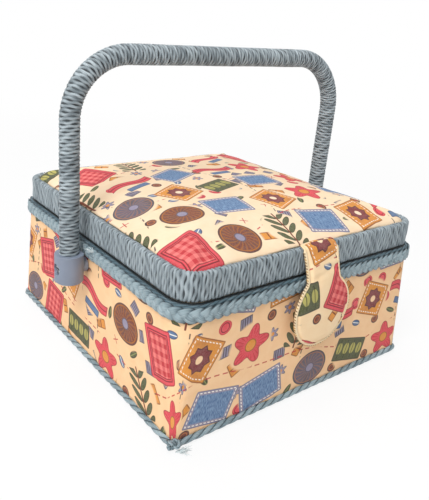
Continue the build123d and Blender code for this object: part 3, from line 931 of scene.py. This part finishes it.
def tab_surface(u, v, front):
    """Point of the padded tab: u across, v down from the root, front or back face."""
    s = TAB_LONG * (0.5 * v + 0.5 * sin(v * pi / 2))
    half = tab_half(s)
    across = sin((u - 0.5) * pi)
    x = across * half + tab_lean(s)
    y, z, ny, nz = smooth_tab_line(s)
    edge = max(0.0, 1 - across * across)
    tip = min(1.0, max(0.0, TAB_LONG - s) / 0.006)
    puff = 0.0021 * edge ** 0.42 * (tip ** 0.5)
    inward = min(half * (1 - abs(across)), TAB_LONG - s)
    puff -= 0.0007 * exp(-((inward - 0.0016) / 0.0006) ** 2) * (puff > 0.0008)
    puff *= 1.0 if s > DISC_S - 0.03 else 0.72
    if front:
        crease = 0.0008 * rough(x * 60, s * 300, 1.0) * exp(-((s - 0.014) / 0.012) ** 2)
        fold = -0.0009 * exp(-((s - 0.010 - x * 0.12) / 0.0016) ** 2)
        fold -= 0.0007 * exp(-((s - 0.0215 + x * 0.2) / 0.0018) ** 2)
        gather = 0.0005 * rough(x * 240, s * 50, 6.0)
        gather *= exp(-((s - DISC_S + 0.024) / 0.006) ** 2)
        puff = puff * 1.05 + (crease + fold + gather) * edge
    else:
        puff = -puff * 0.9
    return Vector((x, y + ny * puff, z + nz * puff)), x, s


def tab_face(front):
    """One face of the tab, with the cloth of its back cut from a place further along."""
    def tab_uv(u, v):
        _, x, s = tab_surface(u, 1 - v, front)
        return x + (0 if front else 0.2), -s
    return patch(56, 110, lambda u, v: (tab_surface(u, 1 - v, front)[0], 0, 0), tab_uv)


def tab_motion(piece):
    """The cloth hangs from the lid's edge; this bakes the piece's placement into its mesh."""
    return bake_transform(piece)


tab_cloth = finish_mesh(close_up(joined(map(tab_face, (True, False))), 1.2e-5, 0), "tab_cloth")
dress(tab_cloth, tab_print_painted_light)
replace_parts(tab_motion(tab_cloth), "closure_tab", "tab_root", "tab_backing")

# overcast thread round the tab's edge
thread = Net("overcast_thread", rough=0.7)
fibre = thread.noise(1600.0)
thread.set(Base_Color=thread.mix(thread.ease(thread.attribute("tone"), 0.3, 0.7),
                                 thread.mix(fibre * 0.4, srgb(196, 148, 62), srgb(226, 190, 110)),
                                 thread.mix(fibre * 0.4, srgb(98, 70, 44), srgb(130, 96, 60))),
           Roughness=0.6 + fibre * 0.2, Normal=thread.bump(fibre, 0.0002, 0.5))


def edge_path():
    """Places round the tab's edge, down one side, round the disc and up the other."""
    side, s = [], 0.006
    while s < TAB_LONG - 1e-5:
        side.append((tab_half(s), s))
        slope = abs(tab_half(min(TAB_LONG, s + 1e-5)) - tab_half(s)) / 1e-5
        s += 0.00022 / sqrt(1 + min(slope, 400) ** 2)
    places = []
    for spot in [(-half, s) for half, s in side] + side[::-1]:
        if not places or dist(spot, places[-1]) > 0.0016:
            places.append(spot)
    return places


def edge_frame(x, s, dx, ds):
    """Middle of the tab's edge there, with the directions along it, outward and off the edge."""
    y, z, ny, nz = smooth_tab_line(s)
    outward, down = Vector((0, ny, nz)), Vector((0, nz, -ny))
    if down.z > 0:
        down = -down
    ahead = (Vector((1, 0, 0)) * dx + down * ds).normalized()
    off = ahead.cross(outward).normalized()
    if off.dot(Vector((x, 0, 0)) + down * (s - DISC_S if s > DISC_S else 0)) < 0:
        off = -off
    return Vector((x + tab_lean(s), y, z)), ahead, outward, off


EDGE = edge_path()


def piping_point(u, v):
    where = u * (len(EDGE) - 1)
    i = min(int(where), len(EDGE) - 2)
    a, b = EDGE[max(0, i - 1)], EDGE[min(len(EDGE) - 1, i + 2)]
    here, _, outward, off = edge_frame(*between(EDGE, where), b[0] - a[0], b[1] - a[1])
    r = 0.00095 * min(1, (1 - abs(2 * u - 1)) * 60 + 0.02) * (1 + 0.12 * rough(where * 1.7))
    return here + ring(v * tau, r, off, outward), 0, 0


tab_piping = skin("tab_piping", 420, 12, piping_point, uv=lambda u, v: (u * 0.2, v * 0.006 + 0.4))
dress(tab_piping, plain_cloth("cream_piping", srgb(248, 226, 188), srgb(234, 204, 158)))
tab_motion(tab_piping)


def whip(name):
    """Fine overcast thread behind the piping, short loops with gaps between."""
    bm = bmesh.new()
    tone = bm.verts.layers.float.new("tone")
    for before, spot, after in zip(EDGE, EDGE[1:], EDGE[2:]):
        here, ahead, outward, off = edge_frame(*spot, after[0] - before[0], after[1] - before[1])
        shade = LEAN.random()
        for vert in bmesh.ops.create_grid(bm, x_segments=5, y_segments=5, size=0.5)["verts"]:
            way, turn = (vert.co.x - 0.22) * pi, vert.co.y * tau
            vert.co = (here + ring(way, 0.00108 + sin(turn) * 0.0002, off, outward)
                       + ahead * (vert.co.x * 0.0008 + cos(turn) * 0.00026))
            vert[tone] = shade
    return finish_mesh(close_up(bm, caps=8), name)


tab_whip = dress(whip("tab_whip"), thread.mat)
tab_motion(tab_whip)


# ---------------- hinge cloth
HINGE_LINE = [(0.1044, 0.0805), (0.1046, 0.0828), (0.1044, 0.0840), (0.1038, 0.0848),
              (0.1031, 0.0857), (0.1027, 0.0872), (0.1027, 0.0905), (0.1027, 0.0938)]
HINGE_WIDE = 0.150


def hinge_point(u, v):
    y, z = between(HINGE_LINE, v * (len(HINGE_LINE) - 1))
    x = (u - 0.5) * HINGE_WIDE
    y += 0.00022 * rough(x * 90, v * 4) + 0.00025 * cos(v * 6.28)
    return (x, y, z), 0, 0.5


hinge_cloth = dress(skin("hinge_cloth", 150, 14, hinge_point, closed=False), blue_tape)
thicken(hinge_cloth, 0.0005, 0)
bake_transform(hinge_cloth)
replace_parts(hinge_cloth, "hinge_tape_lower", "hinge_tape_upper")


# ---------------- satin linings, their edges as (inset, height)
INNER_PATH = [(0.0050, 0.0824), (0.0051, 0.0834), (0.0056, 0.0838), (0.0060, 0.0833),
              (0.0060, 0.0075)]


def lining_point(u, v):
    inset, z = walk(INNER_PATH, v * span(INNER_PATH))[0]
    s = u * BODY.length
    x, y, nx, ny = BODY.at(s)
    down = max(0.0, 0.0830 - z)
    if down:
        fold = rough(s * 170, z * 6, 1.0) * 0.0005 * min(1, down / 0.006)
        fold += abs(sin(s * 520 + rough(s * 30) * 4)) * 0.0003 * exp(-down / 0.012)
        inset += max(0.0, fold)
    else:
        z += 0.00015 * rough(s * 200, 3)
    return (x - nx * inset, y - ny * inset, z), 0, 0


body_satin = dress(skin("body_satin", 620, 40, lining_point), cream_satin)
thicken(body_satin, 0.0005, -1)
stand_in(body_satin, "box", "body_lining")

low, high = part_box("floor_pad")
PAD = Outline((high[0] - low[0]) / 2, (high[1] - low[1]) / 2, 0.010)


def quilted(x, y, inset, corner):
    """Crossed sewn channels, a little unevenly filled."""
    a, b = (x + y) / 0.030, (x - y) / 0.030
    near = min(abs(a - round(a)), abs(b - round(b)))
    channel = -0.0007 * exp(-(near / 0.07) ** 2) * min(1, inset / 4)
    return channel + 0.0001 * rough(x * 90, y * 90)


floor_quilt = pad_grid("floor_quilt", PAD, low[2] + 0.0010, low[2], high[2] - low[2] - 0.0011,
                       110, quilted)
pad_uv(floor_quilt)
dress(floor_quilt, cream_satin)
stand_in(floor_quilt, "box", "floor_pad")

LID_PATH = [(0.0067, 0.0936), (0.0067, 0.0851), (0.0070, 0.0848), (0.0076, 0.0850),
            (0.0078, 0.0925), (0.0095, 0.0929)]
WALL_SHARE = 0.4  # of the lining's grid; the rest is the middle


def lid_lining_point(u, v):
    s = u * LID.length
    x, y, nx, ny = LID.at(s)
    if v < WALL_SHARE:
        inset, z = walk(LID_PATH, v / WALL_SHARE * span(LID_PATH))[0]
        inset += 0.0002 * rough(s * 180, z * 20)
        return (x - nx * inset, y - ny * inset, z), 0, 0
    inset, z = LID_PATH[-1]
    t = (v - WALL_SHARE) / (1 - WALL_SHARE)
    x, y = (x - nx * inset) * (1 - t), (y - ny * inset) * (1 - t)
    return (x, y, z + 0.00035 * rough(x * 60, y * 60) * min(1, t * 6)), 0, 0


lid_satin = dress(skin("lid_satin", 420, 60, lid_lining_point), cream_satin)
thicken(lid_satin, 0.0005, 0)
stand_in(lid_satin, "lid", "lid_lining")

low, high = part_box("lid_pocket")
POCKET_X, POCKET_Y0, POCKET_Y1, POCKET_TOP = high[0], low[1], high[1], high[2]


def pocket_point(u, v):
    x, y = (u - 0.5) * 2 * POCKET_X, POCKET_Y0 + (POCKET_Y1 - POCKET_Y0) * v
    free = min(1, min(1 - abs(2 * u - 1), (1 - v) * 1.2) * 18)
    gather = 0.0005 * rough(x * 130, y * 9, 4.0) * (1.1 - 0.7 * v)
    gather += 0.0003 * sin(x * 900 + rough(x * 40) * 3) * exp(-v / 0.12)
    return (x, y, POCKET_TOP + (gather - 0.0014) * free), 0, 0


pocket_cloth = dress(skin("pocket_cloth", 260, 90, pocket_point, closed=False), cream_satin)
thicken(pocket_cloth, 0.0004, 0)
low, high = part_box("pocket_hem")
HEM_Y, HEM_Z, HEM_X = (low[1] + high[1]) / 2, (low[2] + high[2]) / 2, high[0]


def hem_point(u, v):
    x = (u - 0.5) * 2 * HEM_X
    angle = v * tau
    end = min(1.0, (1 - abs(2 * u - 1)) * 90) ** 0.5
    r = (0.0014 + 0.0003 * sin(x * 900 + rough(x * 40) * 3)) * max(end, 0.02)
    return (x, HEM_Y + cos(angle) * r, HEM_Z + sin(angle) * r * 0.85), 0, 0


pocket_edge = dress(skin("pocket_edge", 260, 14, hem_point), cream_satin)
stand_in(pocket_cloth, "lid", "lid_pocket")
stand_in(pocket_edge, "lid", "pocket_hem")


# ---------------- cord ends
def tuft(name, where, heading, count, long, spread, seed):
    """Short frayed fibres of paper cord."""
    draw = random.Random(seed)
    bm = bmesh.new()
    heading = heading.normalized()
    for _ in range(count):
        way = heading + Vector([draw.uniform(-1, 1) for _ in range(3)]) * spread
        curl = Vector([draw.uniform(-1, 1) for _ in range(3)]) * 0.45
        way.z, curl.z = abs(way.z), abs(curl.z) * 0.4
        way.normalize()
        reach = long * draw.uniform(0.5, 1.0)
        side = way.orthogonal().normalized()
        other = way.cross(side)
        for vert in bmesh.ops.create_grid(bm, x_segments=5, y_segments=5, size=0.5)["verts"]:
            t, turn = vert.co.x + 0.5, vert.co.y * tau
            thin = 0.00036 * (1 - 0.8 * t)
            vert.co = (where + way * (t * reach) + curl * (t * t * reach)
                       + ring(turn, thin, side, other))
    return finish_mesh(close_up(bm, caps=8), name)


frayed = Net("frayed_paper", rough=0.75)
fibre = frayed.noise(1400.0)
frayed.set(Base_Color=frayed.mix(fibre, srgb(176, 196, 204), srgb(236, 238, 234)),
           Roughness=0.6 + fibre * 0.3, Normal=frayed.bump(fibre, 0.0002, 0.4))


def knot(name, where, size):
    """The small overhand knot that ends the base cord, a trefoil of two-ply cord."""
    def spot(a):
        along, out = sin(a) + 2 * sin(2 * a), -sin(3 * a) * 1.1
        return Vector(((along + out) * 0.7, (out - along) * 0.7,
                       (cos(a) - 2 * cos(2 * a)) * 0.62)) * size

    def path(u):
        t = u * tau
        ahead = (spot(t + 0.01) - spot(t - 0.01)).normalized()
        lean = Vector((0.7, 0.7, 0.2))
        out = (lean - ahead * ahead.dot(lean)).normalized()
        return where + spot(t), out, ahead.cross(out)
    return twisted(name, path, 7, 2, size * 0.78, 240, 14, seed=3.0)


KNOT = Vector((-0.0999, -0.1041, 0.0040))
base_knot = knot("base_knot", KNOT, 0.00138)
base_fray = tuft("base_fray", KNOT + Vector((0.0004, -0.0026, -0.0032)), Vector((1, -0.6, 0.05)),
                 44, 0.0074, 0.24, 5)
rim_fray = tuft("rim_fray", Vector((-0.1012, -0.0140, 0.0815)), Vector((-0.7, 0.6, 0.5)),
                12, 0.0055, 0.6, 8)
for piece in (base_fray, rim_fray):
    dress(piece, frayed.mat)
for piece in (base_knot, base_fray, rim_fray):
    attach(piece, "box")


# ---------------- floor, light and camera
def showing(net):
    """1 where the camera, a reflection or clear material looks at it."""
    path = net.node("ShaderNodeLightPath").outputs
    camera, glossy, clear = (Value(net, path[f"Is {kind} Ray"])
                             for kind in ("Camera", "Glossy", "Transmission"))
    return most(most(camera, glossy), clear)


FLOOR_DROP = 0.0002  # below the base, so that the two don't flicker

bm = bmesh.new()
bmesh.ops.create_grid(bm, x_segments=2, y_segments=2, size=6.0)
bmesh.ops.translate(bm, verts=bm.verts, vec=(0, 0, -FLOOR_DROP))
table = finish_mesh(bm, "floor")
pale = Net("pale_floor", rough=0.9, colour=(0.92, 0.92, 0.92))
glow = pale.node("ShaderNodeEmission", None, Color=(1.0, 1.0, 1.0), Strength=1.0)
east, north, _ = pale.split(pale.place())
far = pale.ease(root(east * east + north * north), 0.3, 1.1)
both = pale.node("ShaderNodeMixShader", None, _0=showing(pale) * (0.86 + far * 0.14),
                 _1=pale.bsdf.outputs[0], _2=glow.outputs[0])
pale.put(pale.tree.nodes["Material Output"].inputs[0], both.outputs[0])
dress(table, pale.mat)

world = bpy.data.worlds.new("soft_room")
bpy.context.scene.world = world
world.use_nodes = True


class Room(Net):
    """The world's node tree, with the same helpers."""

    def __init__(self, tree):
        self.tree = tree


room = Room(world.node_tree)
back = room.tree.nodes["Background"]
room.put(back.inputs["Color"], (1.0, 1.0, 1.0))
room.put(back.inputs["Strength"], 0.34 + showing(room) * 0.66)


def lamp(name, where, aim, size, power):
    light = bpy.data.lights.new(name, "AREA")
    light.shape, light.size, light.energy = "SQUARE", size, power
    held = bpy.data.objects.new(name, light)
    bpy.context.scene.collection.objects.link(held)
    held.location = where
    held.rotation_euler = (Vector(aim) - Vector(where)).to_track_quat("-Z", "Y").to_euler()


lamp("key", (-1.05, -0.55, 1.6), (0, 0, 0.08), 0.8, 24)
lamp("fill", (-1.5, -0.5, 0.7), (0, 0, 0.08), 1.2, 4)
lamp("top", (0.1, 0.35, 1.7), (0, 0, 0.1), 0.9, 8)

view = bpy.data.cameras.new("camera")
view.sensor_fit, view.sensor_width, view.sensor_height = "AUTO", 36, 36
view.lens, view.shift_x, view.shift_y = 40.74, 0.079, -0.056
view.clip_start, view.clip_end = 0.01, 30
camera = bpy.data.objects.new("camera", view)
bpy.context.scene.collection.objects.link(camera)
camera.location = (-0.25163, -0.29651, 0.21876)
camera.rotation_euler = [radians(a) for a in (70.1335, -3.7768, -35.2777)]
bpy.context.scene.camera = camera
bpy.context.scene.view_settings.view_transform = "Standard"
